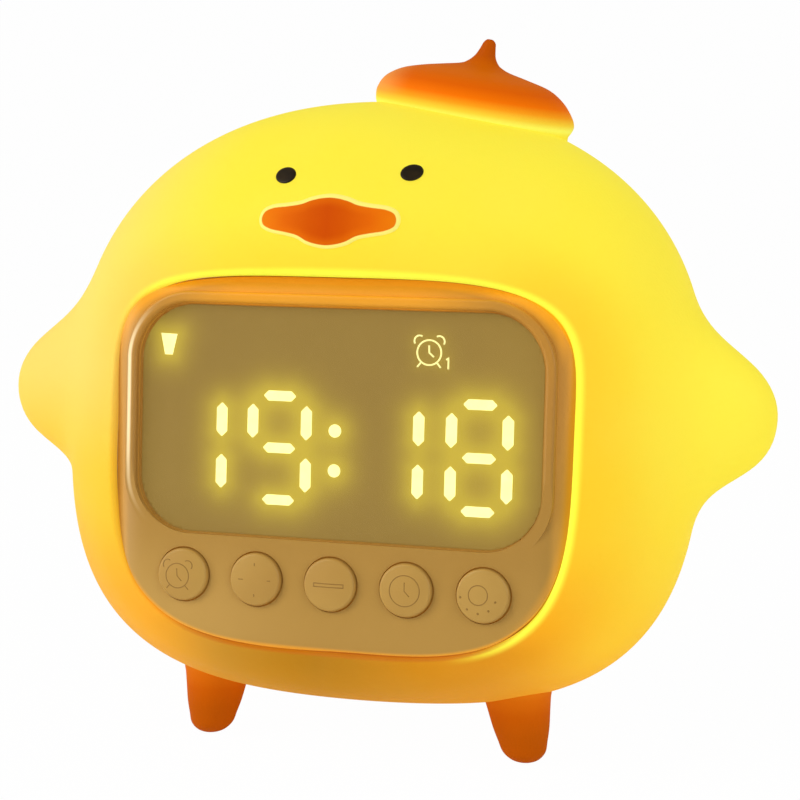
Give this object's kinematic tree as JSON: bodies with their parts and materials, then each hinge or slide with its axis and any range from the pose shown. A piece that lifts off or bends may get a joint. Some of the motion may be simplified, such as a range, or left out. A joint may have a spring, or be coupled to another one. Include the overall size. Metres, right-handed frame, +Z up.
{
  "type": "kids alarm clock with night light",
  "caption": "Duckling-shaped bedside clock: soft glowing skin with wings, beret and feet over a lamp shell, with a display panel and push buttons in its belly.",
  "frame": {"origin": "on the table under the middle of the clock's bounding box", "axes": "+Z up, -Y out of the face panel, +X to the right seen from the front"},
  "size_m": [0.147, 0.071, 0.1298],
  "materials": {
    "yellow_silicone": "soft satin silicone, slightly translucent",
    "orange_silicone": "soft satin silicone",
    "black_silicone": "satin",
    "tan_plastic": "fine matte, moulded",
    "button_plastic": "fine matte, moulded",
    "smoked_window": "clear tinted acrylic, polished",
    "lit_digits": "glowing light pipes",
    "milky_plastic": "milky, lets light through",
    "cover_plastic": "fine matte, moulded",
    "black_plastic": "moulded",
    "white_plastic": "moulded",
    "circuit_board": "solder resist",
    "white_board": "white solder resist",
    "warm_leds": "moulded lens",
    "tinned_pins": "bright tin",
    "bright_steel": "plated",
    "magnet_plate": "dark plated",
    "cone_paper": "pressed paper",
    "cell_wrap": "shrunk sleeve",
    "lead_cover": "insulation"
  },
  "bodies": {
    "clock": {"body_skin": "yellow_silicone", "beret": "orange_silicone", "beak": "orange_silicone", "left_eye": "black_silicone", "right_eye": "black_silicone", "front_left_foot": "orange_silicone", "front_right_foot": "orange_silicone", "rear_left_foot": "orange_silicone", "rear_right_foot": "orange_silicone", "front_panel": "tan_plastic", "display_window": "smoked_window", "display_module": "black_plastic", "digit_lenses": "lit_digits", "display_pins": "tinned_pins", "key_header_pins": "tinned_pins", "key_board": "circuit_board", "switch_housings": "black_plastic", "front_shell": "milky_plastic", "rear_shell": "milky_plastic", "back_cover": "cover_plastic", "main_board": "circuit_board", "main_chip": "black_plastic", "driver_chip": "black_plastic", "crystal": "bright_steel", "capacitors": "black_plastic", "lead_sockets": "white_plastic", "lamp_bracket": "white_plastic", "lamp_board": "white_board", "lamp_leds": "warm_leds", "battery_cell": "cell_wrap", "battery_cradle": "black_plastic", "speaker_basket": "bright_steel", "speaker_cone": "cone_paper", "speaker_magnet": "magnet_plate", "charge_board": "circuit_board", "charge_port": "bright_steel", "charge_port_tongue": "black_plastic", "charge_chip": "black_plastic", "panel_screws": "bright_steel", "key_board_screws": "bright_steel", "main_board_screws": "bright_steel", "shell_screws": "bright_steel", "cover_screws": "bright_steel", "lamp_screws": "bright_steel", "battery_lead": "lead_cover", "speaker_lead": "lead_cover", "lamp_lead": "lead_cover", "charge_lead": "lead_cover"},
    "alarm_key": {"alarm_button": "button_plastic", "alarm_plunger": "black_plastic"},
    "plus_key": {"plus_button": "button_plastic", "plus_plunger": "black_plastic"},
    "minus_key": {"minus_button": "button_plastic", "minus_plunger": "black_plastic"},
    "clock_key": {"clock_button": "button_plastic", "clock_plunger": "black_plastic"},
    "light_key": {"light_button": "button_plastic", "light_plunger": "black_plastic"}
  },
  "joints": [
    {"name": "alarm_press", "type": "slide", "parent": "clock", "child": "alarm_key", "axis": [0, 0.9962, -0.0872], "range_m": [0, 0.0008], "stiffness_N_per_m": 900, "springref_m": -0.0003},
    {"name": "plus_press", "type": "slide", "parent": "clock", "child": "plus_key", "axis": [0, 0.9962, -0.0872], "range_m": [0, 0.0008], "stiffness_N_per_m": 900, "springref_m": -0.0003},
    {"name": "minus_press", "type": "slide", "parent": "clock", "child": "minus_key", "axis": [0, 0.9962, -0.0872], "range_m": [0, 0.0008], "stiffness_N_per_m": 900, "springref_m": -0.0003},
    {"name": "clock_press", "type": "slide", "parent": "clock", "child": "clock_key", "axis": [0, 0.9962, -0.0872], "range_m": [0, 0.0008], "stiffness_N_per_m": 900, "springref_m": -0.0003},
    {"name": "light_press", "type": "slide", "parent": "clock", "child": "light_key", "axis": [0, 0.9962, -0.0872], "range_m": [0, 0.0008], "stiffness_N_per_m": 900, "springref_m": -0.0003}
  ]
}
